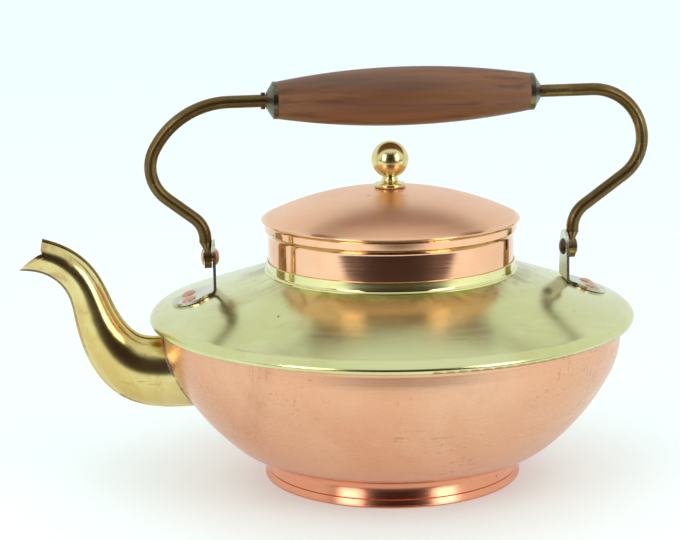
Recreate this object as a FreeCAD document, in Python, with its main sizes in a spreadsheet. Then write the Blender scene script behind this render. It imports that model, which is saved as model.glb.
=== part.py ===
import FreeCAD, Part
import math
import os
import Sketcher

# A copper and brass kettle with a swinging bail handle, in millimetres.
# The origin is the centre of the foot ring's base, +Z is up, and the spout points along -X.

DOC = FreeCAD.newDocument("kettle")

SIZES = {
    # bowl: spun copper, a flat floor and a wall of three tangent arcs up to a flange
    "bowl_wall": 1.0,
    "floor_height": 12.0,
    "floor_radius": 57.0,
    "heel_bend": 25.0,
    "heel_angle": 40.0,
    "side_bend": 100.0,
    "side_angle": 64.0,
    "top_bend": 35.0,
    "flange_bend": 3.0,
    "flange_reach": 106.2,
    # foot ring: spun copper, soldered under the floor
    "foot_radius": 57.9,
    "foot_wall": 1.0,
    "foot_lip_height": 1.2,
    "foot_flare": 20.0,
    "foot_groove_height": 3.6,
    "foot_waist_height": 6.4,
    "foot_top_radius": 55.3,
    "foot_cove": 9.0,
    # shoulder: spun brass cone, hemmed over the bowl's flange
    "shoulder_wall": 0.8,
    "shoulder_angle": 18.6,
    "shoulder_top": 93.57,
    "rim_start": 104.2,
    "rim_bend": 7.0,
    "rim_turn": 36.0,
    "hem_bend": 1.7,
    "hem_end": 105.2,
    # neck ring: brass, soldered in the shoulder's opening
    "neck_radius": 55.5,
    "neck_wall": 0.65,
    "neck_top": 98.6,
    "neck_foot": 0.9,
    "ledge_height": 94.0,
    "ledge_reach": 1.9,
    # lid: spun copper, its sleeve stands on the ledge inside the neck ring
    "lid_wall": 0.9,
    "sleeve_radius": 54.75,
    "lid_step_height": 109.2,
    "lid_ridge_height": 112.0,
    "lid_ridge_radius": 56.1,
    "lid_band": 2.9,
    "lid_edge_height": 116.3,
    "lid_edge_radius": 57.6,
    "dome_height": 130.0,
    "dome_bend": 127.0,
    # knob: turned brass, its tenon riveted over a washer under the lid
    "ball_radius": 8.25,
    "ball_height": 142.4,
    "knob_waist": 3.15,
    "knob_flange": 6.95,
    "tenon_radius": 2.2,
    "washer_radius": 6.0,
    "washer_wall": 1.0,
    # handle: bent brass rod with a flattened eye on each end
    "rod_radius": 2.75,
    "eye_radius": 5.0,
    "eye_wall": 3.2,
    "eye_place": 81.4,
    "arm_place": 82.3,
    "eye_root": 108.5,
    "pivot_height": 100.8,
    "pivot_radius": 2.0,
    "running_gap": 0.05,
    "grip_line_height": 170.215,
    "grip_line_slope": 0.0123,
    "left_shoulder": 92.1,
    "left_shoulder_bend": 38.0,
    "left_elbow": 110.75,
    "left_elbow_height": 136.5,
    "left_elbow_bend": 17.4,
    "left_knee_height": 114.8,
    "left_knee_bend": 12.0,
    "right_shoulder": 109.85,
    "right_shoulder_bend": 22.6,
    "right_elbow": 115.1,
    "right_elbow_height": 140.0,
    "right_elbow_bend": 20.0,
    "right_knee_height": 115.7,
    "right_knee_bend": 13.0,
    # grip: turned wood that spins on the rod between two brass ferrules
    "grip_centre": 6.3,
    "grip_length": 115.2,
    "grip_radius": 12.9,
    "grip_end_radius": 8.25,
    "spigot_length": 2.2,
    "ferrule_wall": 0.5,
    "ferrule_cone": 3.0,
    "grip_pin_radius": 1.0,
    "grip_pin_length": 7.2,
    "grip_pin_gap": 1.3,
    # lugs: bent brass plates riveted on the shoulder
    "lug_wall": 1.2,
    "lug_inside": 78.2,
    "lug_round": 7.7,
    "lug_waist": 8.6,
    "lug_foot_half": 13.0,
    "lug_foot_tip": 97.8,
    "foot_rivet_place": 90.0,
    "foot_rivet_spread": 6.0,
    "foot_rivet_radius": 1.6,
    "foot_rivet_head": 3.3,
    "pivot_head": 3.7,
    # spout: two pressed brass halves, joined along a seam that stands proud
    "spout_wall": 0.8,
    "seam_stand": 0.9,
    "seam_half": 0.6,
}

# Spout stations from the bowl to the mouth: the seam's lower and upper edge, and the full width.
SPOUT_STATIONS = [
    ((-86.0, 33.0), (-86.0, 65.7), 26.0),
    ((-96.5, 32.8), (-96.0, 65.9), 25.0),
    ((-107.5, 33.6), (-107.0, 65.7), 24.0),
    ((-121.5, 38.6), (-112.8, 67.0), 21.5),
    ((-131.2, 48.1), (-116.8, 70.1), 19.0),
    ((-140.9, 74.5), (-123.8, 81.4), 15.4),
    ((-143.1, 84.5), (-127.5, 89.9), 14.4),
    ((-146.3, 90.0), (-132.6, 98.3), 13.6),
    ((-154.8, 95.8), (-145.5, 108.3), 13.0),
    ((-160.5, 97.0), (-153.7, 111.2), 13.0),
    ((-166.5, 97.4), (-161.5, 113.3), 13.0),
]

# The mouth's edge in side view: the cut end of the upper seam, the notch, and the long lower lip.
MOUTH_EDGE = [
    (-153.7, 111.3),
    (-154.3, 107.2),
    (-153.1, 103.8),
    (-156.4, 102.5),
    (-159.0, 101.0),
    (-161.6, 99.2),
    (-164.7, 97.0),
]


def fill_sheet():
    sheet = DOC.addObject("Spreadsheet::Sheet", "Sizes")
    for row, (alias, value) in enumerate(SIZES.items(), start=1):
        sheet.set(f"A{row}", alias)
        sheet.set(f"B{row}", str(value))
        sheet.setAlias(f"B{row}", alias)
    DOC.recompute()


class Size:
    """A length or an angle in degrees, with the sheet expression that gives it."""

    def __init__(self, value, text):
        self.value = value
        self.text = text

    def joined(self, sign, other, value, swap=False):
        first, second = (other.text, self.text) if swap else (self.text, other.text)
        return Size(value, f"({first} {sign} {second})")

    def __add__(self, other):
        other = as_size(other)
        return self.joined("+", other, self.value + other.value)

    def __sub__(self, other):
        other = as_size(other)
        return self.joined("-", other, self.value - other.value)

    def __rsub__(self, other):
        return as_size(other) - self

    def __mul__(self, other):
        other = as_size(other)
        return self.joined("*", other, self.value * other.value)

    def __truediv__(self, other):
        other = as_size(other)
        return self.joined("/", other, self.value / other.value)

    def __neg__(self):
        return Size(-self.value, f"(-1 * {self.text})")

    __radd__ = __add__
    __rmul__ = __mul__


def as_size(item):
    return item if isinstance(item, Size) else Size(float(item), repr(float(item)))


def of(alias):
    return Size(float(SIZES[alias]), f"Sizes.{alias}")


def sin(angle):
    return Size(math.sin(math.radians(angle.value)), f"sin({angle.text})")


def cos(angle):
    return Size(math.cos(math.radians(angle.value)), f"cos({angle.text})")


def tan(angle):
    return sin(angle) / cos(angle)


def bind(thing, path, size):
    """Set a property from a size and keep it bound to the sheet."""
    size = as_size(size)
    if "Sizes." in size.text:
        thing.setExpression(path, size.text)
    return size.value


def arc_between(start, end, radius, turn):
    """Minor arc from start to end that turns left (turn 1) or right (turn -1)."""
    chord = end - start
    half = chord.Length / 2
    bulge = radius - math.sqrt(max(radius * radius - half * half, 0.0))
    to_right = FreeCAD.Vector(chord.y, -chord.x, 0).normalize()
    middle = (start + end) / 2 + to_right * bulge * turn
    return Part.Arc(start, middle, end) if turn > 0 else Part.Arc(end, middle, start)


def draw_outline(sketch, corners):
    """Closed outline. A corner is (across, up), or (across, up, radius, turn) where an arc reaches it."""
    corners = [tuple(as_size(item) for item in corner) for corner in corners]
    points = [FreeCAD.Vector(corner[0].value, corner[1].value, 0) for corner in corners]
    ends = []
    for index, corner in enumerate(corners):
        start, end = points[index - 1], points[index]
        if len(corner) == 4:
            edge = sketch.addGeometry(arc_between(start, end, corner[2].value, corner[3].value))
            radius = sketch.addConstraint(Sketcher.Constraint("Radius", edge, corner[2].value))
            bind(sketch, f"Constraints[{radius}]", corner[2])
        else:
            edge = sketch.addGeometry(Part.LineSegment(start, end))
        forward = (sketch.Geometry[edge].StartPoint - start).Length < 1e-6
        ends.append((edge, 1 if forward else 2, 2 if forward else 1))
    for index, corner in enumerate(corners):
        edge, _, last = ends[index]
        following, first, _ = ends[(index + 1) % len(ends)]
        sketch.addConstraint(Sketcher.Constraint("Coincident", edge, last, following, first))
        for kind, size in (("DistanceX", corner[0]), ("DistanceY", corner[1])):
            place = sketch.addConstraint(Sketcher.Constraint(kind, -1, 1, edge, last, size.value))
            bind(sketch, f"Constraints[{place}]", size)


def draw_circle(sketch, across, up, radius):
    across, up, radius = as_size(across), as_size(up), as_size(radius)
    centre = FreeCAD.Vector(across.value, up.value, 0)
    edge = sketch.addGeometry(Part.Circle(centre, FreeCAD.Vector(0, 0, 1), radius.value))
    size = sketch.addConstraint(Sketcher.Constraint("Radius", edge, radius.value))
    bind(sketch, f"Constraints[{size}]", radius)
    for kind, place in (("DistanceX", across), ("DistanceY", up)):
        index = sketch.addConstraint(Sketcher.Constraint(kind, -1, 1, edge, 3, place.value))
        bind(sketch, f"Constraints[{index}]", place)


def sketch_on(body, name, plane):
    """A sketch on one of the body's own origin planes."""
    sketch = body.newObject("Sketcher::SketchObject", name)
    support = [item for item in body.Origin.OriginFeatures if item.Role == plane][0]
    sketch.AttachmentSupport = [(support, "")]
    sketch.MapMode = "FlatFace"
    return sketch


def new_body(name):
    body = DOC.addObject("PartDesign::Body", name)
    body.Label = name
    return body


def spun(name, corners):
    """A piece of revolution about its own Z axis, from its outline in the XZ plane."""
    body = new_body(name)
    sketch = sketch_on(body, f"{name}_outline", "XZ_Plane")
    draw_outline(sketch, corners)
    spin = body.newObject("PartDesign::Revolution", f"{name}_spin")
    spin.Profile = sketch
    spin.ReferenceAxis = (sketch, ["V_Axis"])
    spin.Angle = 360
    return body


def place(piece, across, up, tilt=0, axis=(0, 1, 0), side=0):
    """Put a piece at (across, side, up), turned by tilt degrees about axis."""
    turn = FreeCAD.Rotation(FreeCAD.Vector(*axis), 1)
    piece.Placement = FreeCAD.Placement(FreeCAD.Vector(0, 0, 0), turn)
    for path, size in (("Base.x", across), ("Base.y", side), ("Base.z", up)):
        piece.setExpression(f"Placement.{path}", as_size(size).text)
    piece.setExpression("Placement.Rotation.Angle", as_size(tilt).text)
    return piece


def prism(name, corners, half):
    """A plate in the XZ plane, drawn as an outline and thickened both ways along Y."""
    sketch = DOC.addObject("Sketcher::SketchObject", f"{name}_outline")
    sketch.Placement = FreeCAD.Placement(
        FreeCAD.Vector(0, 0, 0), FreeCAD.Rotation(FreeCAD.Vector(1, 0, 0), 90))
    draw_outline(sketch, corners)
    plate = DOC.addObject("Part::Extrusion", name)
    plate.Base = sketch
    plate.DirMode = "Custom"
    plate.Dir = FreeCAD.Vector(0, 1, 0)
    plate.LengthFwd = half
    plate.LengthRev = half
    plate.Solid = True
    return plate


def combine(kind, name, *pieces):
    """A Part boolean of two pieces, or a fusion of several."""
    result = DOC.addObject(f"Part::{kind}", name)
    result.Label = name
    if kind in ("MultiFuse", "Compound"):
        setattr(result, "Shapes" if kind == "MultiFuse" else "Links", list(pieces))
    else:
        result.Base, result.Tool = pieces
    return result


# ---- bowl and foot ----

def bowl_side(inset):
    """The bowl's side from the floor's edge to the flange, set in from the outer face."""
    floor = of("floor_radius")
    heel, heel_angle = of("heel_bend"), of("heel_angle")
    side, side_angle = of("side_bend"), of("side_angle")
    top, flange = of("top_bend"), of("flange_bend")
    heel_up = of("floor_height") + heel
    heel_across = floor + heel * sin(heel_angle)
    side_across = floor + heel * sin(heel_angle) + side * (sin(side_angle) - sin(heel_angle))
    side_up = heel_up - heel * cos(heel_angle) + side * (cos(heel_angle) - cos(side_angle))
    wall_across = side_across + top * (1 - sin(side_angle))
    wall_up = side_up + top * cos(side_angle)
    flange_under = hem_centre_up() - of("hem_bend") + of("shoulder_wall")
    return [
        (floor, of("floor_height") + inset),
        (heel_across - inset * sin(heel_angle), heel_up - (heel - inset) * cos(heel_angle),
         heel - inset, 1),
        (side_across - inset * sin(side_angle), side_up + inset * cos(side_angle), side - inset, 1),
        (wall_across - inset, wall_up, top - inset, 1),
        (wall_across - inset, flange_under - flange),
        (wall_across + flange, flange_under + inset, flange + inset, -1),
        (of("flange_reach"), flange_under + inset),
    ]


def backwards(corners):
    """The same run of lines and arcs, travelled from its last corner to its first."""
    result = []
    for index in range(len(corners) - 1, -1, -1):
        following = corners[index + 1] if index + 1 < len(corners) else ()
        if len(following) == 4:
            result.append((corners[index][0], corners[index][1], following[2], -following[3]))
        else:
            result.append((corners[index][0], corners[index][1]))
    return result


def make_bowl(bore):
    outside = bowl_side(as_size(0))
    inside = backwards(bowl_side(of("bowl_wall")))
    floor_up = of("floor_height")
    shell = spun("bowl_shell", [(0, floor_up)] + outside + inside + [(0, floor_up + of("bowl_wall"))])
    return combine("Cut", "bowl", shell, bore)


def make_bowl_block():
    """The bowl as a filled block, which trims the spout to the bowl's outer face."""
    outside = bowl_side(as_size(0))
    lid_up = outside[-1][1]
    return spun("bowl_block", [(0, of("floor_height"))] + outside + [(0, lid_up + 1)])


def foot_flared(up):
    """Radius of the foot ring's flared skirt at this height."""
    return of("foot_radius") - 0.25 - (up - of("foot_lip_height")) * tan(of("foot_flare"))


def make_foot_ring():
    """A flared skirt on a rolled lip, scored once round, coved in to a small bead under the bowl."""
    foot, wall, top = of("foot_radius"), of("foot_wall"), of("floor_height")
    neck, cove, waist = of("foot_top_radius"), of("foot_cove"), of("foot_waist_height")
    lip, score = of("foot_lip_height"), of("foot_groove_height")
    return spun("foot_ring", [
        (neck - 2.2, top - wall),
        (neck - wall, top - wall),
        (foot_flared(waist) - wall, waist, cove + wall, 1),
        (foot - 1.6, 0),
        (foot - 0.6, 0),
        (foot, 0.6, 0.6, 1),
        (foot_flared(lip), lip, 0.8, 1),
        (foot_flared(score - 0.25), score - 0.25),
        (foot_flared(score) - 0.35, score),
        (foot_flared(score + 0.25), score + 0.25),
        (foot_flared(waist), waist),
        (neck, top - 1.2, cove, -1),
        (neck + 0.9, top - 0.7),
        (neck + 0.9, top),
        (neck - 2.2, top),
    ])


# ---- shoulder and neck ----

def shoulder_height(radius):
    """Height of the shoulder's outer cone at a radius from the kettle's axis."""
    return of("shoulder_top") - (radius - of("neck_radius")) * tan(of("shoulder_angle"))


def rim_angle():
    return of("shoulder_angle") + of("rim_turn")


def rim_centre():
    """Centre of the arc that turns the cone down at its edge."""
    bend, slope, start = of("rim_bend"), of("shoulder_angle"), of("rim_start")
    return start - bend * sin(slope), shoulder_height(start) - bend * cos(slope)


def hem_centre_across():
    return rim_centre()[0] + (of("rim_bend") - of("hem_bend")) * sin(rim_angle())


def hem_centre_up():
    return rim_centre()[1] + (of("rim_bend") - of("hem_bend")) * cos(rim_angle())


def shoulder_edge(inset):
    """From the neck's opening down the cone, over the rim and under it to the hem's end."""
    slope, turned = of("shoulder_angle"), rim_angle()
    bend, hem = of("rim_bend") - inset, of("hem_bend") - inset
    neck = of("neck_radius")
    across, up = rim_centre()
    hem_across, hem_up = hem_centre_across(), hem_centre_up()
    return [
        (neck, shoulder_height(neck) - inset / cos(slope)),
        (across + bend * sin(slope), up + bend * cos(slope)),
        (across + bend * sin(turned), up + bend * cos(turned), bend, -1),
        (hem_across + hem, hem_up, hem, -1),
        (hem_across, hem_up - hem, hem, -1),
        (of("hem_end"), hem_up - hem),
    ]


def make_shoulder(holes):
    outline = shoulder_edge(as_size(0)) + backwards(shoulder_edge(of("shoulder_wall")))
    return combine("Cut", "shoulder", spun("shoulder_shell", outline), holes)


def make_neck_ring():
    outer, top = of("neck_radius"), of("neck_top")
    inner = outer - of("neck_wall")
    ledge, reach = of("ledge_height"), of("ledge_reach")
    spread = outer + of("neck_foot")
    return spun("neck_ring", [
        (outer, ledge - 2.2),
        (outer, shoulder_height(outer)),
        (spread, shoulder_height(spread)),
        (spread, shoulder_height(spread) + 0.4),
        (outer, shoulder_height(outer) + 1.2, 1.2, -1),
        (outer, top - 0.45),
        (inner, top - 0.45, 0.45, 1),
        (inner, ledge),
        (inner - reach, ledge),
        (inner - reach, ledge - 0.8),
        (inner, ledge - 2.2),
    ])


# ---- lid and knob ----

def make_lid():
    wall, sleeve = of("lid_wall"), of("sleeve_radius")
    step, ridge = of("lid_step_height"), of("lid_ridge_height")
    ridge_across, band = of("lid_ridge_radius"), of("lid_ridge_height") + of("lid_band")
    edge_across, edge_up = of("lid_edge_radius"), of("lid_edge_height")
    dome, bend = of("dome_height"), of("dome_bend")
    tenon = of("tenon_radius")
    bottom = of("ledge_height")
    return spun("lid", [
        (sleeve, bottom),
        (sleeve, step),
        (ridge_across - 0.3, ridge - 0.2, 3.2, -1),
        (ridge_across, ridge + 0.2, 0.4, 1),
        (ridge_across + 0.2, band),
        (edge_across - 0.5, edge_up - 0.35, 1.4, -1),
        (edge_across - 0.4, edge_up + 0.55, 0.5, 1),
        (tenon, dome - 0.02, bend, 1),
        (tenon, dome - wall - 0.02),
        (edge_across - 2.4, edge_up - 0.35, bend - wall, -1),
        (ridge_across - wall, band - 0.6),
        (ridge_across - wall, ridge + 0.5),
        (sleeve - wall, step - 0.2, 4.0, 1),
        (sleeve - wall, bottom),
    ])


def make_knob():
    ball, middle = of("ball_radius"), of("ball_height")
    waist, flange, tenon = of("knob_waist"), of("knob_flange"), of("tenon_radius")
    dome, washer = of("dome_height"), of("washer_wall")
    under = dome - of("lid_wall") - washer - 0.45
    seat = dome - 0.18
    return spun("knob", [
        (0, under - 0.9),
        (tenon + 0.7, under),
        (tenon, under),
        (tenon, dome),
        (flange - 0.3, dome),
        (flange, seat + 0.5, 0.4, 1),
        (flange - 0.5, seat + 2.2, 1.1, 1),
        (waist + 1.6, seat + 2.5),
        (waist + 0.6, seat + 3.5, 1.6, -1),
        (waist, middle - ball * 0.9242),
        (ball, middle, ball, 1),
        (0, middle + ball, ball, 1),
    ])


def make_knob_washer():
    tenon, radius, wall = of("tenon_radius"), of("washer_radius"), of("washer_wall")
    top = of("dome_height") - of("lid_wall") - 0.35
    return spun("knob_washer", [(tenon, top - wall), (radius, top - wall), (radius, top), (tenon, top)])


# ---- handle ----

def grip_line(across):
    return of("grip_line_height") + across * of("grip_line_slope")


def rounded_run(corners):
    """Straight runs through corners, with an arc at each corner that has a radius."""
    points = [FreeCAD.Vector(across.value, up.value, 0) for across, up, _ in corners]
    edges = []
    start = points[0]
    for index in range(1, len(points) - 1):
        corner, bend = points[index], corners[index][2].value
        arriving = (corner - points[index - 1]).normalize()
        leaving = (points[index + 1] - corner).normalize()
        turn = arriving.getAngle(leaving)
        reach = bend * math.tan(turn / 2)
        first, last = corner - arriving * reach, corner + leaving * reach
        towards = (leaving - arriving).normalize()
        middle = corner + towards * bend * (1 / math.cos(turn / 2) - 1)
        edges.append(Part.LineSegment(start, first))
        edges.append(Part.Arc(first, middle, last))
        start = last
    edges.append(Part.LineSegment(start, points[-1]))
    return edges


def handle_corners():
    place_x, root = of("arm_place"), of("eye_root")
    left, right = -of("left_shoulder"), of("right_shoulder")
    none = as_size(0)
    return [
        (-place_x, root, none),
        (-place_x, of("left_knee_height"), of("left_knee_bend")),
        (-of("left_elbow"), of("left_elbow_height"), of("left_elbow_bend")),
        (left, grip_line(left), of("left_shoulder_bend")),
        (right, grip_line(right), of("right_shoulder_bend")),
        (of("right_elbow"), of("right_elbow_height"), of("right_elbow_bend")),
        (place_x, of("right_knee_height"), of("right_knee_bend")),
        (place_x, root, none),
    ]


def make_handle_rod(pins):
    """The bent rod, and at each end a taper down to a flat eye."""
    rod = new_body("handle_bar")
    path = sketch_on(rod, "handle_path", "XZ_Plane")
    for edge in rounded_run(handle_corners()):
        path.addGeometry(edge)
    for edge in range(path.GeometryCount):
        path.addConstraint(Sketcher.Constraint("Block", edge))
    section = sketch_on(rod, "handle_section", "XY_Plane")
    section.AttachmentOffset = FreeCAD.Placement(
        FreeCAD.Vector(0, 0, of("eye_root").value), FreeCAD.Rotation())
    section.setExpression("AttachmentOffset.Base.z", of("eye_root").text)
    draw_circle(section, -of("arm_place"), 0, of("rod_radius"))
    pipe = rod.newObject("PartDesign::AdditivePipe", "handle_pipe")
    pipe.Profile = section
    pipe.Spine = (path, [f"Edge{edge + 1}" for edge in range(path.GeometryCount)])
    ends = make_eye("left_eye", -1) + make_eye("right_eye", 1)
    solid = combine("MultiFuse", "handle_solid", rod, *ends)
    holes = combine("MultiFuse", "handle_holes", *[eye_bore(side) for side in (-1, 1)], *pins)
    return combine("Cut", "handle_rod", solid, holes)


def make_eye(name, side):
    """A taper from the round rod to a flat, and the round flat that the rivet goes through."""
    half = of("eye_wall") / 2
    arm, eye, rod = of("arm_place"), of("eye_place"), of("rod_radius")
    width = of("eye_radius") * 0.86
    rings = []
    for step, (middle, up, across, deep) in enumerate((
            (arm, of("eye_root"), rod, rod),
            (arm, of("eye_root") - 1.0, rod, rod),
            (eye, of("pivot_height") + 3.0, half, width),
            (eye, of("pivot_height") + 1.0, half, width))):
        ring = DOC.addObject("Part::Ellipse", f"{name}_ring{step}")
        ring.MajorRadius = 100
        bind(ring, "MinorRadius", across)
        bind(ring, "MajorRadius", deep)
        place(ring, side * middle, up, 90, axis=(0, 0, 1))
        rings.append(ring)
    taper = DOC.addObject("Part::Loft", f"{name}_taper")
    taper.Sections = rings
    taper.Solid = True
    taper.Ruled = True
    disc = DOC.addObject("Part::Cylinder", f"{name}_disc")
    bind(disc, "Radius", of("eye_radius"))
    bind(disc, "Height", of("eye_wall"))
    place(disc, side * of("eye_place") - half, of("pivot_height"), 90)
    return [taper, disc]


def eye_bore(side):
    bore = DOC.addObject("Part::Cylinder", f"eye_bore_{'left' if side < 0 else 'right'}")
    bind(bore, "Radius", of("pivot_radius") + of("running_gap"))
    bore.Height = 10
    return place(bore, side * of("eye_place") - 5, of("pivot_height"), 90)


def on_grip_line(piece, across):
    """Turn a piece's Z axis along the grip line and set it at a place along the line."""
    lean = 90 - math.degrees(math.atan(SIZES["grip_line_slope"]))
    return place(piece, across, grip_line(across), lean)


def make_grip():
    """Barrel with a reduced spigot on each end for its ferrule, bored for the rod."""
    half = of("grip_length") / 2
    spigot = of("spigot_length")
    belly, end = of("grip_radius"), of("grip_end_radius")
    bore = of("rod_radius") + of("running_gap")
    small = end - of("ferrule_wall") - 0.05
    barrel = half - spigot
    bend = (barrel * barrel + (belly - end) * (belly - end)) / (2 * (belly - end))
    grip = spun("grip", [
        (bore, -half),
        (small, -half),
        (small, -barrel),
        (end, -barrel),
        (belly, 0, bend, 1),
        (end, barrel, bend, 1),
        (small, barrel),
        (small, half),
        (bore, half),
    ])
    return on_grip_line(grip, of("grip_centre"))


def make_ferrule(name, side):
    """Cap on the grip's end: a band round the spigot and a cone that closes onto the rod."""
    wall, cone, spigot = of("ferrule_wall"), of("ferrule_cone"), of("spigot_length")
    end = of("grip_end_radius")
    hole = of("rod_radius") + of("running_gap") + 0.05
    cap = spun(name, [
        (end - wall, side * -spigot),
        (end, side * -spigot),
        (end, 0),
        (hole + wall, side * cone),
        (hole, side * cone),
        (hole, side * (cone - wall)),
        (end - wall - 0.6, side * 0.05),
        (end - wall, side * 0.05),
    ])
    return on_grip_line(cap, of("grip_centre") + side * of("grip_length") / 2)


def grip_pin_place(side):
    reach = of("grip_length") / 2 + of("ferrule_cone") + of("grip_pin_gap")
    return of("grip_centre") + side * reach


def make_grip_pin(name, side, upright):
    """Cross pin through the rod that keeps the grip from sliding into the bend."""
    pin = DOC.addObject("Part::Cylinder", name)
    pin.Label = name
    bind(pin, "Radius", of("grip_pin_radius"))
    bind(pin, "Height", of("grip_pin_length"))
    across = grip_pin_place(side)
    half = of("grip_pin_length") / 2
    if upright:
        return place(pin, across, grip_line(across) - half)
    return place(pin, across, grip_line(across), 90, axis=(1, 0, 0), side=half)


# ---- lugs and rivets ----

def make_lug(name, turned):
    """Right-hand lug: an upright plate with a round top and a leaf-shaped foot on the cone."""
    inside, wall, top = of("lug_inside"), of("lug_wall"), of("pivot_height") + of("lug_round")
    tip, half, waist = of("lug_foot_tip"), of("lug_foot_half"), of("lug_waist")
    outside = inside + wall
    rise = wall / cos(of("shoulder_angle"))
    bend = 1.6
    body = new_body(name + "_blank")
    side = sketch_on(body, f"{name}_side", "XZ_Plane")
    draw_outline(side, [
        (inside, shoulder_height(inside) + 1.6),
        (inside + 1.4, shoulder_height(inside + 1.4), 2.2, 1),
        (tip, shoulder_height(tip)),
        (tip, shoulder_height(tip) + rise),
        (outside + bend, shoulder_height(outside + bend) + rise),
        (outside, shoulder_height(outside) + rise + 1.0, 2.0, -1),
        (outside, top),
        (inside, top),
    ])
    plate = body.newObject("PartDesign::Pad", f"{name}_plate")
    plate.Profile = side
    plate.SideType = "Symmetric"
    bind(plate, "Length", half * 2)
    DOC.recompute()

    round_top = of("lug_round")
    pivot = of("pivot_height")
    low = shoulder_height(outside) + rise + 2.0
    trims = []
    front = sketch_on(body, f"{name}_front", "YZ_Plane")
    draw_outline(front, [
        (-(half + 2), low),
        (-waist, low),
        (-round_top, pivot),
        (0, pivot + round_top, round_top, -1),
        (round_top, pivot, round_top, -1),
        (waist, low),
        (half + 2, low),
        (half + 2, top + 4),
        (-(half + 2), top + 4),
    ])
    trims.append((front, "front"))
    plan = sketch_on(body, f"{name}_plan", "XY_Plane")
    draw_outline(plan, [
        (inside - 2, -(half + 2)),
        (tip + 4, -(half + 2)),
        (tip + 4, half + 2),
        (inside - 2, half + 2),
        (inside - 2, waist),
        (outside + 1.6, waist),
        (outside + 7.0, half - 0.6, 8.5, 1),
        (tip, 0, 13.5, -1),
        (outside + 7.0, -(half - 0.6), 13.5, -1),
        (outside + 1.6, -waist, 8.5, 1),
        (inside - 2, -waist),
    ])
    trims.append((plan, "plan"))
    holes = sketch_on(body, f"{name}_pivot_hole", "YZ_Plane")
    draw_circle(holes, 0, pivot, of("pivot_radius"))
    trims.append((holes, "pivot"))
    for sketch, label in trims:
        pocket = body.newObject("PartDesign::Pocket", f"{name}_{label}_trim")
        pocket.Profile = sketch
        pocket.SideType = "Symmetric"
        pocket.Length = 260
        body.Tip = pocket
        DOC.recompute()
    drilled = combine("Cut", name + "_drilled", body, foot_rivet_bores(name))
    return turned_round(name, drilled, turned)


def turned_round(name, piece, turned):
    """The piece itself on the right, or the same piece half a turn round on the left."""
    if not turned:
        piece.Label = name
        return piece
    piece.Label = name + "_unturned"
    other = combine("Compound", name, piece)
    return place(other, 0, 0, 180, axis=(0, 0, 1))


def rivet_site(piece, spread, lift=0):
    """Stand a piece on the cone at a foot rivet's place, square to the cone."""
    across, slope = of("foot_rivet_place"), of("shoulder_angle")
    return place(piece, across + lift * sin(slope), shoulder_height(across) + lift * cos(slope),
                 slope, side=spread)


def foot_rivet_bores(name):
    bores = []
    for label, side in (("near", -1), ("far", 1)):
        bore = DOC.addObject("Part::Cylinder", f"{name}_{label}_bore")
        bind(bore, "Radius", of("foot_rivet_radius"))
        bore.Height = 8
        bores.append(rivet_site(bore, side * of("foot_rivet_spread"), -4))
    return combine("MultiFuse", f"{name}_bores", *bores)


def cap_radius(across, rise):
    """Radius of a ball cap that is this wide to each side and rises this much to the axis."""
    return (across * across + rise * rise) / (rise * 2)


def make_foot_rivets(name, turned):
    """Two rivets through the lug's foot and the shoulder: domed outside, peened flat inside."""
    shank, head = of("foot_rivet_radius"), of("foot_rivet_head")
    top, under = of("lug_wall") + 0.02, -of("shoulder_wall")
    cap_rise = as_size(0.9)
    rivets = []
    for label, side in (("near", -1), ("far", 1)):
        rivet = spun(f"{name}_{label}", [
            (0, under - 0.9),
            (head - 0.7, under - 0.7),
            (head - 0.6, under - 0.15),
            (shank, under - 0.15),
            (shank, top),
            (head, top),
            (head - 0.2, top + 0.3, 0.4, 1),
            (0, top + 0.3 + cap_rise, cap_radius(head - 0.2, cap_rise), 1),
        ])
        rivets.append(rivet_site(rivet, side * of("foot_rivet_spread")))
    pair = combine("Compound", name + "_pair", *rivets)
    return turned_round(name, pair, turned)


def make_pivot_rivet(name, turned):
    """Rivet along X that the handle's eye swings on, tight in the lug and headed on both sides."""
    inner = of("lug_inside")
    outer = of("eye_place") + of("eye_wall") / 2 + 0.3
    shank, head = of("pivot_radius"), of("pivot_head")
    length = outer - inner
    cap_rise = as_size(0.4)
    rivet = spun(name + "_blank", [
        (0, -1.45 - cap_rise),
        (head * 0.62, -1.45, cap_radius(head * 0.62, cap_rise), 1),
        (head, -0.25, 2.6, 1),
        (head, 0),
        (shank, 0),
        (shank, length),
        (head, length),
        (head, length + 0.2),
        (head * 0.62, length + 0.9, 2.6, 1),
        (0, length + 0.9 + cap_rise, cap_radius(head * 0.62, cap_rise), 1),
    ])
    place(rivet, inner, of("pivot_height"), 90)
    return turned_round(name, rivet, turned)


# ---- spout ----

def station_ring(index, inset):
    """One elliptical section of the spout, square to its run, set in from the outer face."""
    (low_x, low_z), (top_x, top_z), width = SPOUT_STATIONS[index]
    height = math.hypot(top_x - low_x, top_z - low_z)
    lean = -math.degrees(math.atan2(top_z - low_z, top_x - low_x))
    ring = DOC.addObject("Part::Ellipse", f"spout_ring{index}_{'bore' if inset else 'skin'}")
    trim = inset.text if inset else "0"
    ring.setExpression("MajorRadius", f"{height / 2} - Sizes.seam_stand - {trim}")
    ring.setExpression("MinorRadius", f"{width / 2} - {trim}")
    return place(ring, (low_x + top_x) / 2, (low_z + top_z) / 2, lean)


def spout_loft(name, inset):
    loft = DOC.addObject("Part::Loft", name)
    loft.Sections = [station_ring(index, inset) for index in range(len(SPOUT_STATIONS))]
    loft.Solid = True
    return loft


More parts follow.
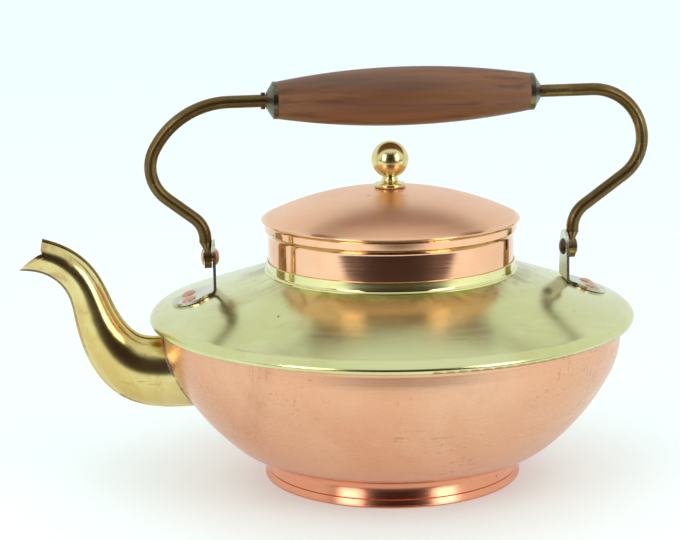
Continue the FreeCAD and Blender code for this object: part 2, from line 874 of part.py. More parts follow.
def make_seam():
    """The flat seam strip: the spout's side view between its lower and upper edge."""
    seam = DOC.addObject("Part::Feature", "spout_seam")
    lower = Part.BSplineCurve()
    lower.interpolate([FreeCAD.Vector(x, 0, z) for (x, z), _, _ in SPOUT_STATIONS])
    upper = Part.BSplineCurve()
    upper.interpolate([FreeCAD.Vector(x, 0, z) for _, (x, z), _ in SPOUT_STATIONS])
    first = Part.LineSegment(lower.StartPoint, upper.StartPoint)
    last = Part.LineSegment(lower.EndPoint, upper.EndPoint)
    wire = Part.Wire(Part.sortEdges([edge.toShape() for edge in (lower, last, upper, first)])[0])
    half = DOC.Sizes.get("seam_half")
    face = Part.Face(wire)
    face.translate(FreeCAD.Vector(0, -half, 0))
    seam.Shape = face.extrude(FreeCAD.Vector(0, 2 * half, 0))
    return seam


def make_spout(bore, bowl_block):
    skin = spout_loft("spout_skin", None)
    solid = combine("MultiFuse", "spout_solid", skin, make_seam())
    mouth = [(-180, 97.0), (-180, 125.0), (-153.7, 125.0)] + MOUTH_EDGE
    waste = combine("MultiFuse", "spout_waste", bore, bowl_block, prism("mouth_cut", mouth[::-1], 20))
    shell = combine("Cut", "spout_shell", solid, waste)
    halves = []
    for name, low in (("spout_near_half", -40), ("spout_far_half", 0)):
        side = DOC.addObject("Part::Box", name + "_side")
        side.Length, side.Width, side.Height = 120, 40, 120
        place(side, -180, 10, side=low)
        halves.append(combine("Common", name, shell, side))
    return halves


# ---- assembly ----

def build():
    """Make every piece of the kettle and return them by name."""
    fill_sheet()
    bore = spout_loft("spout_bore", of("spout_wall"))
    block = make_bowl_block()
    left_bores = foot_rivet_bores("shoulder_left")
    place(left_bores, 0, 0, 180, axis=(0, 0, 1))
    holes = combine("MultiFuse", "shoulder_holes", left_bores, foot_rivet_bores("shoulder_right"))
    pins = [make_grip_pin("grip_pin_left", -1, True), make_grip_pin("grip_pin_right", 1, False)]
    pieces = [
        make_bowl(bore),
        make_foot_ring(),
        make_shoulder(holes),
        make_neck_ring(),
        *make_spout(bore, block),
        make_lug("lug_left", True),
        make_lug("lug_right", False),
        make_foot_rivets("foot_rivets_left", True),
        make_foot_rivets("foot_rivets_right", False),
        make_pivot_rivet("pivot_rivet_left", True),
        make_pivot_rivet("pivot_rivet_right", False),
        make_handle_rod(pins),
        *pins,
        make_grip(),
        make_ferrule("ferrule_left", -1),
        make_ferrule("ferrule_right", 1),
        make_lid(),
        make_knob(),
        make_knob_washer(),
    ]
    DOC.recompute()
    return pieces


def check(pieces):
    for item in DOC.Objects:
        if "Invalid" in item.State or "Error" in item.State:
            raise ValueError(f"{item.Label} failed: {item.State}")
    for piece in pieces:
        if piece.Shape.isNull() or not piece.Shape.isValid():
            raise ValueError(f"{piece.Label} has no valid shape")
        if not piece.Shape.Solids:
            raise ValueError(f"{piece.Label} holds no solid")


PIECES = build()
check(PIECES)
os.makedirs("parts", exist_ok=True)
for part in PIECES:
    part.Shape.exportStep(os.path.join("parts", part.Label + ".step"))
    print(part.Label, len(part.Shape.Solids), round(part.Shape.Volume, 1))
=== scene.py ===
import math

import bpy
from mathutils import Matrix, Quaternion, Vector


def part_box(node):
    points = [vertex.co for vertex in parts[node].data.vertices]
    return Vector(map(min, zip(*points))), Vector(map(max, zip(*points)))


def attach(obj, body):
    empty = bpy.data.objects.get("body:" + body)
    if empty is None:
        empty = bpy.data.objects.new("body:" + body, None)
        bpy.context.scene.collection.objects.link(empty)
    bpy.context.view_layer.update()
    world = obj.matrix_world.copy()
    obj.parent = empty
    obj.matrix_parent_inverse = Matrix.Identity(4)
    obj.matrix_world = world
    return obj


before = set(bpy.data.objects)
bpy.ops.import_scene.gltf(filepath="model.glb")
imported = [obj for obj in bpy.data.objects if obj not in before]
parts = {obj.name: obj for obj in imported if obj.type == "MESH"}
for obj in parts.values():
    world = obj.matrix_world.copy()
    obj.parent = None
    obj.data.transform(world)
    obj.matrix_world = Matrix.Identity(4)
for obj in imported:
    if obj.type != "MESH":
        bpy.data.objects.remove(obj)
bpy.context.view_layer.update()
bpy.ops.object.select_all(action="DESELECT")


# ---------------------------------------------------------------- studio ----
# The kettle stands on a white table in a white studio. Two upright soft boxes stand in
# front of it, with the dark room between them, and the table ends a hand's length ahead.

VIEW_TURN = math.radians(5.0)
VIEW_RISE = math.radians(11.75)
VIEW_ROLL = math.radians(0.76)
VIEW_DISTANCE = 0.850
VIEW_TARGET = Vector((-0.0226, 0.0020, 0.0926))
LENS_MM = 100.56

away = Vector((
    -math.sin(VIEW_TURN) * math.cos(VIEW_RISE),
    -math.cos(VIEW_TURN) * math.cos(VIEW_RISE),
    math.sin(VIEW_RISE),
))
camera_data = bpy.data.cameras.new("camera")
camera_data.lens = LENS_MM
camera_data.sensor_width = 36.0
camera = bpy.data.objects.new("camera", camera_data)
bpy.context.scene.collection.objects.link(camera)
camera.location = VIEW_TARGET + VIEW_DISTANCE * away
camera.rotation_mode = "QUATERNION"
camera.rotation_quaternion = away.to_track_quat("Z", "Y") @ Quaternion((0, 0, 1), -VIEW_ROLL)
bpy.context.scene.camera = camera
bpy.context.scene.view_settings.view_transform = "Standard"


def put(tree, kind, inputs=None, **settings):
    """Add one shader node. Each input is a plain value or the socket that feeds it."""
    node = tree.nodes.new("ShaderNode" + kind)
    for name, value in settings.items():
        setattr(node, name, value)
    for name, value in (inputs or {}).items():
        socket = node.inputs[name]
        if isinstance(value, bpy.types.NodeSocket):
            tree.links.new(value, socket)
        else:
            socket.default_value = value
    return node


def ramp(tree, value, low, high, start=0.0, end=1.0):
    """A value brought smoothly from start to end as it goes from low to high."""
    node = put(tree, "MapRange", {"Value": value, "From Min": low, "From Max": high,
                                  "To Min": start, "To Max": end})
    node.interpolation_type = "SMOOTHSTEP"
    return node.outputs["Result"]


def times(tree, first, second):
    return put(tree, "Math", {0: first, 1: second}, operation="MULTIPLY").outputs[0]


def blend_colours(tree, mask, below, above):
    """The lower colour, with the upper one laid over it where the mask is one."""
    node = put(tree, "Mix", data_type="RGBA")
    for name, value in (("Factor", mask), ("A", below), ("B", above)):
        socket = next(s for s in node.inputs if s.name == name and s.enabled)
        if isinstance(value, bpy.types.NodeSocket):
            tree.links.new(value, socket)
        else:
            socket.default_value = value
    return next(s for s in node.outputs if s.enabled)


# The white room as light: dark only towards the camera, and white to the eye all round.
ROOM_WHITE = (0.90, 0.99, 1.00, 1)
ROOM_DARK = (0.030, 0.016, 0.013, 1)
DARK_HALF_WIDTH = math.radians(66)

world = bpy.data.worlds.new("studio")
bpy.context.scene.world = world
world.use_nodes = True
tree = world.node_tree
tree.nodes.clear()
look = put(tree, "TexCoord").outputs["Generated"]
axes = put(tree, "SeparateXYZ", {0: look}).outputs
flat_away = Vector((away.x, away.y, 0)).normalized()
toward = put(tree, "VectorMath", {0: look, 1: flat_away}, operation="DOT_PRODUCT").outputs["Value"]
side_fade = ramp(tree, toward, math.cos(DARK_HALF_WIDTH), math.cos(DARK_HALF_WIDTH - 0.25))
top_fade = ramp(tree, axes["Z"], 0.55, 0.85, 1.0, 0.0)
seen = put(tree, "LightPath").outputs["Is Camera Ray"]
unseen = put(tree, "Math", {0: 1.0, 1: seen}, operation="SUBTRACT").outputs[0]
dark = times(tree, times(tree, side_fade, top_fade), unseen)
room = put(tree, "Background", {"Color": blend_colours(tree, dark, ROOM_WHITE, ROOM_DARK),
                                "Strength": 1.0})
put(tree, "OutputWorld", {"Surface": room.outputs[0]})

# The table: white, with its front edge a short way ahead of the kettle. Past that edge it is painted dark
# where it is seen only in reflections: painted shade for the unlit room beyond.
TABLE_SIZE = 14.0
TABLE_FRONT = -0.34
bpy.ops.mesh.primitive_plane_add(size=TABLE_SIZE, location=(0, 0, 0))
table = bpy.context.object
table.name = "table"
paint = bpy.data.materials.new("white_table")
paint.use_nodes = True
tree = paint.node_tree
shader = tree.nodes["Principled BSDF"]
ahead = put(tree, "SeparateXYZ", {0: put(tree, "TexCoord").outputs["Object"]}).outputs["Y"]
past_edge = ramp(tree, ahead, TABLE_FRONT - 0.05, TABLE_FRONT, 1.0, 0.0)
seen = put(tree, "LightPath").outputs["Is Camera Ray"]
unseen = put(tree, "Math", {0: 1.0, 1: seen}, operation="SUBTRACT").outputs[0]
# Painted shade: past the front edge, rays other than the camera's see the table dark, as if the room beyond
# were unlit.
painted_room_shade = times(tree, past_edge, unseen)
white = blend_colours(tree, painted_room_shade, (0.84, 0.90, 0.90, 1), ROOM_DARK)
tree.links.new(white, shader.inputs["Base Color"])
tree.links.new(white, shader.inputs["Emission Color"])
shader.inputs["Emission Strength"].default_value = 0.26
shader.inputs["Roughness"].default_value = 0.7
shader.inputs["Specular IOR Level"].default_value = 0.2
table.data.materials.append(paint)
bpy.ops.object.select_all(action="DESELECT")


def soft_box(name, turn, rise, width, height, power):
    """An upright soft box at one metre, turned and raised from the camera's own direction."""
    heading = math.atan2(away.y, away.x) + math.radians(turn)
    tilt = math.radians(rise)
    place = Vector((
        math.cos(heading) * math.cos(tilt),
        math.sin(heading) * math.cos(tilt),
        math.sin(tilt),
    ))
    data = bpy.data.lights.new(name, "AREA")
    data.shape = "RECTANGLE"
    data.size, data.size_y = width, height
    data.energy = power
    lamp = bpy.data.objects.new(name, data)
    bpy.context.scene.collection.objects.link(lamp)
    lamp.location = place + Vector((0, 0, 0.06))
    lamp.rotation_mode = "QUATERNION"
    lamp.rotation_quaternion = place.to_track_quat("Z", "Y")


SOFT_BOX_WATTS = 2.6
SOFT_BOX_RISE = 20
SOFT_BOX_WIDTH = 0.36
SOFT_BOX_HEIGHT = 0.62
for name, turn in (("left_box", -39), ("right_box", 46)):
    soft_box(name, turn, SOFT_BOX_RISE, SOFT_BOX_WIDTH, SOFT_BOX_HEIGHT, SOFT_BOX_WATTS)


# ------------------------------------------------------------------ bowl ----
# The bowl is one sheet of copper, raised and then polished on a lathe, so it is satin with
# fine rings. Years on the stove left faint pink and brown clouds, nicks and a few pits.

COPPER = (0.76, 0.38, 0.225, 1)
COPPER_PALE = (0.80, 0.455, 0.285, 1)
COPPER_BROWN = (0.42, 0.17, 0.10, 1)


def new_effect(name, inputs, outputs):
    """An empty node group with named sockets. Returns the group and its two end nodes."""
    group = bpy.data.node_groups.new(name, "ShaderNodeTree")
    for socket, kind, value in inputs:
        made = group.interface.new_socket(socket, in_out="INPUT", socket_type=kind)
        if value is not None:
            made.default_value = value
    for socket, kind in outputs:
        group.interface.new_socket(socket, in_out="OUTPUT", socket_type=kind)
    start = group.nodes.new("NodeGroupInput")
    end = group.nodes.new("NodeGroupOutput")
    return group, start.outputs, end.inputs


def make_cloud_effect():
    """Soft uneven clouds: Cover is how much of the surface they take."""
    group, given, result = new_effect(
        "tarnish_clouds",
        [("Place", "NodeSocketVector", None), ("Size", "NodeSocketFloat", 20.0),
         ("Cover", "NodeSocketFloat", 0.5), ("Edge", "NodeSocketFloat", 0.2)],
        [("Mask", "NodeSocketFloat")])
    noise = put(group, "TexNoise", {"Vector": given["Place"], "Scale": given["Size"],
                                    "Detail": 6.0, "Roughness": 0.62, "Distortion": 0.6})
    low = put(group, "Math", {0: 1.0, 1: given["Cover"]}, operation="SUBTRACT").outputs[0]
    high = put(group, "Math", {0: low, 1: given["Edge"]}, operation="ADD").outputs[0]
    group.links.new(ramp(group, noise.outputs["Fac"], low, high), result["Mask"])
    return group


def make_scratch_effect():
    """Short thin scratches in two directions, gathered in patches."""
    group, given, result = new_effect(
        "fine_scratches",
        [("Place", "NodeSocketVector", None), ("Size", "NodeSocketFloat", 1.0),
         ("Amount", "NodeSocketFloat", 0.5)],
        [("Mask", "NodeSocketFloat")])
    total = None
    for turn, stretch in (((0.5, 0.9, 0.2), (900, 900, 26)), ((-0.7, 0.3, 1.1), (26, 800, 800))):
        turned = put(group, "Mapping", {"Vector": given["Place"], "Rotation": turn, "Scale": stretch})
        sized = put(group, "VectorMath", {0: turned.outputs[0], "Scale": given["Size"]}, operation="SCALE")
        hair = put(group, "TexNoise", {"Vector": sized.outputs[0], "Scale": 1.0, "Detail": 1.0})
        line = ramp(group, hair.outputs["Fac"], 0.66, 0.72)
        if total is None:
            total = line
        else:
            total = put(group, "Math", {0: total, 1: line}, operation="MAXIMUM").outputs[0]
    patch = put(group, "TexNoise", {"Vector": given["Place"], "Scale": 38.0, "Detail": 2.0})
    spread = put(group, "Math", {0: 1.0, 1: given["Amount"]}, operation="SUBTRACT").outputs[0]
    near = put(group, "Math", {0: spread, 1: 0.15}, operation="ADD").outputs[0]
    gathered = ramp(group, patch.outputs["Fac"], spread, near)
    group.links.new(times(group, total, gathered), result["Mask"])
    return group


def make_spot_effect():
    """Small scattered pits and specks: Share is how many of the cells hold one."""
    group, given, result = new_effect(
        "pits_and_specks",
        [("Place", "NodeSocketVector", None), ("Size", "NodeSocketFloat", 120.0),
         ("Share", "NodeSocketFloat", 0.1), ("Radius", "NodeSocketFloat", 0.2)],
        [("Mask", "NodeSocketFloat")])
    bent = put(group, "TexNoise", {"Vector": given["Place"], "Scale": 260.0, "Detail": 1.0})
    shift = put(group, "VectorMath", {0: bent.outputs["Color"], "Scale": 0.0022}, operation="SCALE")
    place = put(group, "VectorMath", {0: given["Place"], 1: shift.outputs[0]}, operation="ADD")
    cells = put(group, "TexVoronoi", {"Vector": place.outputs[0], "Scale": given["Size"], "Randomness": 1.0})
    pick = put(group, "SeparateXYZ", {0: cells.outputs["Color"]}).outputs["X"]
    chosen = put(group, "Math", {0: pick, 1: given["Share"]}, operation="LESS_THAN").outputs[0]
    rim = times(group, given["Radius"], 0.55)
    dot = ramp(group, cells.outputs["Distance"], rim, given["Radius"], 1.0, 0.0)
    group.links.new(times(group, dot, chosen), result["Mask"])
    return group


def from_axis(tree, place):
    """How far a place lies from the kettle's upright axis."""
    axes = put(tree, "SeparateXYZ", {0: place}).outputs
    flat = put(tree, "CombineXYZ", {"X": axes["X"], "Y": axes["Y"]})
    return put(tree, "VectorMath", {0: flat.outputs[0]}, operation="LENGTH").outputs["Value"]


def make_lathe_effect():
    """Fine rings about the kettle's upright axis, as a polishing wheel leaves them."""
    group, given, result = new_effect(
        "polishing_rings",
        [("Place", "NodeSocketVector", None), ("Count", "NodeSocketFloat", 900.0)],
        [("Height", "NodeSocketFloat")])
    height = put(group, "SeparateXYZ", {0: given["Place"]}).outputs["Z"]
    radius = from_axis(group, given["Place"])
    along = put(group, "Math", {0: radius, 1: height}, operation="SUBTRACT").outputs[0]
    slow = put(group, "VectorMath", {0: given["Place"], "Scale": 9.0}, operation="SCALE").outputs[0]
    fast = times(group, along, given["Count"])
    line = put(group, "CombineXYZ", {"X": fast})
    mixed = put(group, "VectorMath", {0: slow, 1: line.outputs[0]}, operation="ADD").outputs[0]
    noise = put(group, "TexNoise", {"Vector": mixed, "Scale": 1.0, "Detail": 3.0, "Roughness": 0.7})
    group.links.new(noise.outputs["Fac"], result["Height"])
    return group


CLOUDS = make_cloud_effect()
SCRATCHES = make_scratch_effect()
SPOTS = make_spot_effect()
RINGS = make_lathe_effect()


def effect(tree, group, **inputs):
    """Place one shared effect in a material and give its first output."""
    node = tree.nodes.new("ShaderNodeGroup")
    node.node_tree = group
    for name, value in inputs.items():
        if isinstance(value, bpy.types.NodeSocket):
            tree.links.new(value, node.inputs[name])
        else:
            node.inputs[name].default_value = value
    return node.outputs[0]


def new_finish(name, metallic=1.0):
    """A material with one Principled shader. Returns it, its tree, shader and object coordinates."""
    finish = bpy.data.materials.new(name)
    finish.use_nodes = True
    tree = finish.node_tree
    shader = tree.nodes["Principled BSDF"]
    shader.inputs["Metallic"].default_value = metallic
    return finish, tree, shader, put(tree, "TexCoord").outputs["Object"]


def raise_bumps(tree, shader, *layers):
    """Chain bumps onto the shader's normal. Each layer is a height, its depth in metres and strength."""
    normal = None
    for height, depth, strength in layers:
        inputs = {"Height": height, "Distance": depth, "Strength": strength}
        if normal is not None:
            inputs["Normal"] = normal
        normal = put(tree, "Bump", inputs).outputs[0]
    tree.links.new(normal, shader.inputs["Normal"])


def worn_metal(name, base, pale, dirt, roughness, cloud=(22.0, 0.5), scratch=0.5, spots=0.1,
               rings=900.0, ring_depth=0.00002):
    """Sheet metal with paler and darker clouds, fine scratches, specks and polishing rings."""
    finish, tree, shader, place = new_finish(name)
    light = effect(tree, CLOUDS, Place=place, Size=cloud[0] * 0.6, Cover=0.62, Edge=0.3)
    colour = blend_colours(tree, light, base, pale)
    stain = effect(tree, CLOUDS, Place=place, Size=cloud[0], Cover=cloud[1] * 0.88, Edge=0.26)
    colour = blend_colours(tree, times(tree, stain, 0.35), colour, dirt)
    cuts = effect(tree, SCRATCHES, Place=place, Size=1.0, Amount=scratch)
    colour = blend_colours(tree, times(tree, cuts, 0.5), colour, dirt)
    specks = effect(tree, SPOTS, Place=place, Size=95.0, Share=spots, Radius=0.1)
    colour = blend_colours(tree, times(tree, specks, 0.8), colour, dirt)
    tree.links.new(colour, shader.inputs["Base Color"])
    lines = effect(tree, RINGS, Place=place, Count=rings)
    rough = put(tree, "Math", {0: times(tree, stain, 0.10), 1: ramp(tree, lines, 0.3, 0.7, -0.03, 0.03)},
                operation="ADD").outputs[0]
    rough = put(tree, "Math", {0: rough, 1: roughness}, operation="ADD").outputs[0]
    tree.links.new(rough, shader.inputs["Roughness"])
    raise_bumps(tree, shader, (lines, ring_depth, 0.5), (cuts, 0.00006, -0.4))
    return finish


def wear(node, finish):
    """Give a piece its finish in its first and only material slot."""
    mesh = parts[node].data if isinstance(node, str) else node.data
    mesh.materials.clear()
    mesh.materials.append(finish)


wear("bowl", worn_metal("satin_copper", COPPER, COPPER_PALE, COPPER_BROWN, 0.27, scratch=0.55, spots=0.07,
                        ring_depth=0.000012))


# ------------------------------------------------------------- foot ring ----
# A copper ring drawn with a groove and a lip, soldered under the bowl. It was polished
# more than the bowl and is a deeper red.

wear("foot_ring", worn_metal("red_copper", base=(0.74, 0.29, 0.17, 1), pale=(0.80, 0.33, 0.19, 1),
                             dirt=(0.30, 0.09, 0.05, 1), roughness=0.22, scratch=0.35, spots=0.05,
                             ring_depth=0.00001))


# ------------------------------------------------- shoulder and neck ring ----
# The cone that closes the bowl is pale yellow brass, its rim rolled over the bowl's edge.
# The neck is a band of the same brass, soldered on, for the lid to drop into.

BRASS = (0.63, 0.60, 0.27, 1)
BRASS_PALE = (0.70, 0.68, 0.35, 1)
# This brown is the tarnish in the clouds, and also the painted dark reflection round the neck.
BRASS_TARNISH_AND_SHADE = (0.26, 0.18, 0.07, 1)
NECK_SHADE_REACH = 0.016


def make_shoulder_finish():
    """Pale brass, browned round the foot of the neck: a painted reflection of the dark lid wall."""
    finish = worn_metal("pale_brass", BRASS, BRASS_PALE, BRASS_TARNISH_AND_SHADE, 0.20, cloud=(30.0, 0.5),
                        scratch=0.4, spots=0.16, ring_depth=0.00001)
    tree = finish.node_tree
    shader = tree.nodes["Principled BSDF"]
    base = shader.inputs["Base Color"].links[0].from_socket
    place = tree.nodes["Texture Coordinate"].outputs["Object"]
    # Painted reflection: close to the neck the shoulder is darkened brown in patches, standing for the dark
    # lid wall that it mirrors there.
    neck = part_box("neck_ring")[1].y
    near = ramp(tree, from_axis(tree, place), neck, neck + NECK_SHADE_REACH, 1.0, 0.0)
    patches = effect(tree, CLOUDS, Place=place, Size=45.0, Cover=0.62, Edge=0.3)
    near = times(tree, near, patches)
    browned = blend_colours(tree, times(tree, near, 0.85), base, BRASS_TARNISH_AND_SHADE)
    tree.links.new(browned, shader.inputs["Base Color"])
    return finish


wear("shoulder", make_shoulder_finish())
wear("neck_ring", worn_metal("neck_brass", (0.80, 0.72, 0.34, 1), BRASS_PALE, BRASS_TARNISH_AND_SHADE, 0.12,
                             cloud=(60.0, 0.52), scratch=0.4, spots=0.1, ring_depth=0.00001))


# ----------------------------------------------------------------- spout ----
# Two pressed halves of yellow brass, brazed along a proud seam. Heat has browned it in
# long patches, and it is red-brown where the water leaves it.

SPOUT_BRASS = (0.66, 0.47, 0.16, 1)
SPOUT_PALE = (0.76, 0.64, 0.28, 1)
SPOUT_BROWN = (0.28, 0.11, 0.03, 1)


def make_spout_finish():
    finish, tree, shader, place = new_finish("golden_brass")
    pale = effect(tree, CLOUDS, Place=place, Size=26.0, Cover=0.6, Edge=0.25)
    colour = blend_colours(tree, pale, SPOUT_BRASS, SPOUT_PALE)
    browned = effect(tree, CLOUDS, Place=place, Size=48.0, Cover=0.46, Edge=0.2)
    colour = blend_colours(tree, times(tree, browned, 0.6), colour, SPOUT_BROWN)
    across = put(tree, "SeparateXYZ", {0: place}).outputs["X"]
    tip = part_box("spout_near_half")[0].x
    near_mouth = ramp(tree, across, tip + 0.006, tip + 0.028, 1.0, 0.0)
    mottled = times(tree, near_mouth, effect(tree, CLOUDS, Place=place, Size=90.0, Cover=0.62, Edge=0.3))
    colour = blend_colours(tree, times(tree, mottled, 0.7), colour, (0.42, 0.17, 0.07, 1))
    cuts = effect(tree, SCRATCHES, Place=place, Size=1.2, Amount=0.5)
    colour = blend_colours(tree, times(tree, cuts, 0.4), colour, SPOUT_BROWN)
    specks = effect(tree, SPOTS, Place=place, Size=150.0, Share=0.12, Radius=0.12)
    colour = blend_colours(tree, times(tree, specks, 0.7), colour, SPOUT_BROWN)
    tree.links.new(colour, shader.inputs["Base Color"])
    rough = ramp(tree, browned, 0.0, 1.0, 0.20, 0.32)
    tree.links.new(rough, shader.inputs["Roughness"])
    swell = put(tree, "TexNoise", {"Vector": place, "Scale": 60.0, "Detail": 2.0}).outputs["Fac"]
    raise_bumps(tree, shader, (swell, 0.0004, 0.25), (cuts, 0.00006, -0.4))
    return finish


golden_brass = make_spout_finish()
wear("spout_near_half", golden_brass)
wear("spout_far_half", golden_brass)


# ---------------------------------------------------------- spout solder ----
# Soft solder holds the spout to the bowl: a narrow uneven bead of dull grey all round the
# root, wiped while it was hot. It lies where the spout's metal comes closest to the bowl.

SOLDER_WIDTH = 0.0010
SOLDER_GRAIN = 0.00028
SOLDER_SWELL = 0.00035
WELD_REACH = 0.000002


def loose_copy(node, name):
    """A free copy of a CAD piece to model from, with its own mesh and no tie to the frame."""
    piece = parts[node].copy()
    piece.data = parts[node].data.copy()
    piece.name = name
    piece.parent = None
    for key in list(piece.keys()):
        if key.startswith("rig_"):
            del piece[key]
    piece.data.materials.clear()
    bpy.context.scene.collection.objects.link(piece)
    return piece


def apply_modifier(piece, kind, name, **settings):
    bpy.context.view_layer.objects.active = piece
    modifier = piece.modifiers.new(name, kind)
    for key, value in settings.items():
        setattr(modifier, key, value)
    bpy.ops.object.modifier_apply(modifier=name)


halves = [loose_copy("spout_near_half", "spout_solder"), loose_copy("spout_far_half", "spout_solder_far")]
for half in halves:
    half.select_set(True)
solder = halves[0]
bpy.context.view_layer.objects.active = solder
bpy.ops.object.join()

def weld(piece):
    """Close the mesh where its faces only meet, so that it bounds a solid."""
    bpy.context.view_layer.objects.active = piece
    bpy.ops.object.mode_set(mode="EDIT")
    bpy.ops.mesh.select_all(action="SELECT")
    bpy.ops.mesh.remove_doubles(threshold=WELD_REACH)
    bpy.ops.object.mode_set(mode="OBJECT")


weld(solder)
bpy.ops.object.select_all(action="DESELECT")
bowl_skin = loose_copy("bowl", "bowl_skin")
bowl_skin.select_set(True)
weld(bowl_skin)
apply_modifier(bowl_skin, "DISPLACE", "thicken", strength=SOLDER_WIDTH, mid_level=0.0)
apply_modifier(solder, "BOOLEAN", "near_bowl", object=bowl_skin, operation="INTERSECT", solver="EXACT")
bpy.data.objects.remove(bowl_skin)
apply_modifier(solder, "REMESH", "grain", mode="VOXEL", voxel_size=SOLDER_GRAIN)
ripple = bpy.data.textures.new("solder_ripple", "CLOUDS")
ripple.noise_scale = 0.0022
apply_modifier(solder, "DISPLACE", "ripple", texture=ripple, strength=SOLDER_SWELL, mid_level=0.25)
apply_modifier(solder, "SMOOTH", "wiped", factor=0.5, iterations=4)
bpy.ops.object.shade_smooth()
bpy.ops.object.select_all(action="DESELECT")
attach(solder, "body")
wear(solder, worn_metal("grey_solder", base=(0.26, 0.22, 0.23, 1), pale=(0.36, 0.31, 0.31, 1),
                        dirt=(0.10, 0.08, 0.09, 1), roughness=0.36, cloud=(240.0, 0.55), scratch=0.5,
                        spots=0.3, ring_depth=0.0))


# ------------------------------------------------------ lugs and rivets ----
# Each lug is a plate of pale brass with a bent leaf-shaped foot, held by two copper rivets.
# The handle turns on two more, and the right-hand one is dark from handling and heat.

wear("lug_left", worn_metal("worn_plate", base=(0.55, 0.50, 0.36, 1), pale=(0.66, 0.63, 0.52, 1),
                            dirt=(0.16, 0.15, 0.10, 1), roughness=0.26, cloud=(90.0, 0.52),
                            scratch=0.55, spots=0.3, ring_depth=0.0))
wear("lug_right", parts["lug_left"].data.materials[0])
rivet_copper = worn_metal("rivet_copper", base=(0.62, 0.32, 0.22, 1), pale=(0.72, 0.46, 0.36, 1),
                          dirt=(0.16, 0.08, 0.05, 1), roughness=0.3, cloud=(160.0, 0.5), scratch=0.5,
                          spots=0.2, ring_depth=0.0)
wear("foot_rivets_left", rivet_copper)
wear("foot_rivets_right", rivet_copper)
wear("pivot_rivet_left", rivet_copper)
wear("pivot_rivet_right", worn_metal("dark_rivet", base=(0.09, 0.055, 0.04, 1),
                                     pale=(0.15, 0.10, 0.075, 1), dirt=(0.03, 0.02, 0.02, 1),
                                     roughness=0.32, cloud=(160.0, 0.5), spots=0.2, ring_depth=0.0))


# ---------------------------------------------------------------- handle ----
# The bail is one drawn brass rod, bent cold and flattened into an eye at each end. Its
# lacquer has gone, and it is brown with a greenish cast where the fingers don't reach.

def make_rod_finish():
    finish, tree, shader, place = new_finish("aged_rod")
    worn = effect(tree, CLOUDS, Place=place, Size=55.0, Cover=0.55, Edge=0.3)
    colour = blend_colours(tree, worn, (0.15, 0.092, 0.032, 1), (0.30, 0.215, 0.09, 1))
    green = effect(tree, CLOUDS, Place=place, Size=120.0, Cover=0.45, Edge=0.2)
    colour = blend_colours(tree, times(tree, green, 0.45), colour, (0.075, 0.07, 0.035, 1))
    cuts = effect(tree, SCRATCHES, Place=place, Size=1.5, Amount=0.6)
    colour = blend_colours(tree, times(tree, cuts, 0.4), colour, (0.45, 0.34, 0.17, 1))
    tree.links.new(colour, shader.inputs["Base Color"])
    tree.links.new(ramp(tree, worn, 0.0, 1.0, 0.36, 0.22), shader.inputs["Roughness"])
    raise_bumps(tree, shader, (green, 0.0001, 0.3), (cuts, 0.00005, -0.4))
    return finish


wear("handle_rod", make_rod_finish())


# ------------------------------------------------------------------ grip ----
# The grip is a barrel of reddish hardwood, turned on a lathe, bored through and oiled. It
# is greyed and dark along its upper side, and a dark cap closes it at each end.

WOOD = (0.175, 0.060, 0.022, 1)
WOOD_PALE = (0.250, 0.098, 0.037, 1)
WOOD_PORE = (0.070, 0.024, 0.013, 1)
WOOD_GREYED = (0.115, 0.072, 0.052, 1)


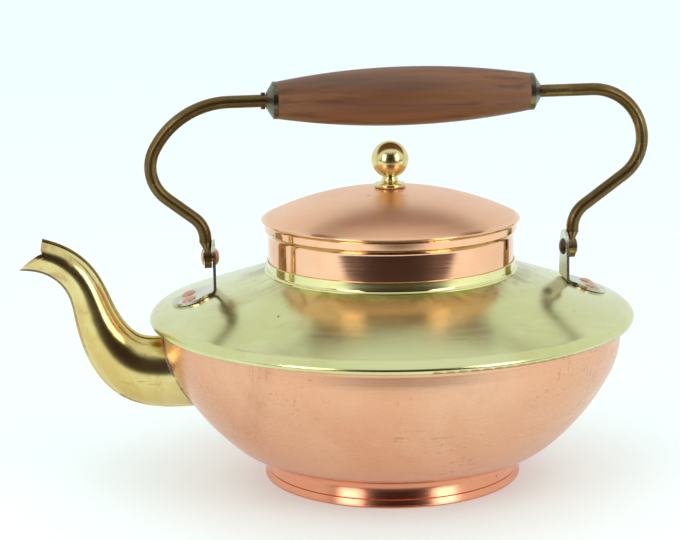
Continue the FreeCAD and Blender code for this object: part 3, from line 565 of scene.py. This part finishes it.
def make_wood_finish():
    finish, tree, shader, place = new_finish("oiled_wood", metallic=0.0)
    long_fibre = put(tree, "Mapping", {"Vector": place, "Scale": (14.0, 330.0, 330.0)}).outputs[0]
    fibre = put(tree, "TexNoise", {"Vector": long_fibre, "Scale": 1.0, "Detail": 5.0,
                                   "Roughness": 0.6}).outputs["Fac"]
    slow_wave = put(tree, "Mapping", {"Vector": place, "Scale": (7.0, 95.0, 95.0)}).outputs[0]
    band = put(tree, "TexNoise", {"Vector": slow_wave, "Scale": 1.0, "Detail": 3.0,
                                  "Distortion": 0.8}).outputs["Fac"]
    colour = blend_colours(tree, ramp(tree, band, 0.35, 0.65), WOOD, WOOD_PALE)
    colour = blend_colours(tree, times(tree, ramp(tree, fibre, 0.50, 0.68), 0.55), colour, WOOD_PORE)
    height = put(tree, "SeparateXYZ", {0: place}).outputs["Z"]
    low, high = (corner.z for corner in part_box("grip"))
    upper = ramp(tree, height, low + 0.45 * (high - low), high)
    grey = times(tree, upper, effect(tree, CLOUDS, Place=slow_wave, Size=1.3, Cover=0.58, Edge=0.25))
    colour = blend_colours(tree, times(tree, grey, 0.8), colour, WOOD_GREYED)
    nicks = effect(tree, SPOTS, Place=place, Size=110.0, Share=0.10, Radius=0.09)
    colour = blend_colours(tree, times(tree, nicks, 0.7), colour, (0.05, 0.02, 0.015, 1))
    tree.links.new(colour, shader.inputs["Base Color"])
    tree.links.new(ramp(tree, fibre, 0.3, 0.7, 0.38, 0.55), shader.inputs["Roughness"])
    raise_bumps(tree, shader, (fibre, 0.00015, 0.5), (nicks, 0.0003, -0.6))
    return finish


wear("grip", make_wood_finish())
dark_cap = worn_metal("dark_cap", base=(0.12, 0.11, 0.07, 1), pale=(0.22, 0.20, 0.12, 1),
                      dirt=(0.03, 0.025, 0.02, 1), roughness=0.3, cloud=(120.0, 0.55), scratch=0.6,
                      spots=0.3, ring_depth=0.0)
for name in ("ferrule_left", "ferrule_right", "grip_pin_left", "grip_pin_right"):
    wear(name, dark_cap)


# --------------------------------------------------------- lid and knob ----
# The lid is spun from copper: a low dome, a rolled edge and an upright wall that drops into
# the neck. Its brass ball knob is turned, and its tenon is peened over a washer inside.

DOME_RISE = 0.0130


def make_lid_finish():
    """Polished copper, a little duller over the dome, where hands have wiped it."""
    finish = worn_metal("polished_copper", base=(0.88, 0.46, 0.27, 1), pale=(0.92, 0.54, 0.34, 1),
                        dirt=(0.36, 0.13, 0.08, 1), roughness=0.09, cloud=(30.0, 0.46), scratch=0.35,
                        spots=0.08, ring_depth=0.00001)
    tree = finish.node_tree
    shader = tree.nodes["Principled BSDF"]
    rough = shader.inputs["Roughness"].links[0].from_socket
    height = put(tree, "SeparateXYZ", {0: tree.nodes["Texture Coordinate"].outputs["Object"]}).outputs["Z"]
    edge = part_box("lid")[1].z - DOME_RISE
    duller = ramp(tree, height, edge - 0.0004, edge + 0.0012, 0.0, 0.26)
    total = put(tree, "Math", {0: rough, 1: duller}, operation="ADD").outputs[0]
    tree.links.new(total, shader.inputs["Roughness"])
    return finish


wear("lid", make_lid_finish())
knob_brass = worn_metal("knob_brass", base=(0.76, 0.62, 0.27, 1), pale=(0.80, 0.70, 0.36, 1),
                        dirt=(0.30, 0.17, 0.05, 1), roughness=0.20, cloud=(130.0, 0.5), scratch=0.4,
                        spots=0.15, ring_depth=0.0)
wear("knob", knob_brass)
wear("knob_washer", knob_brass)
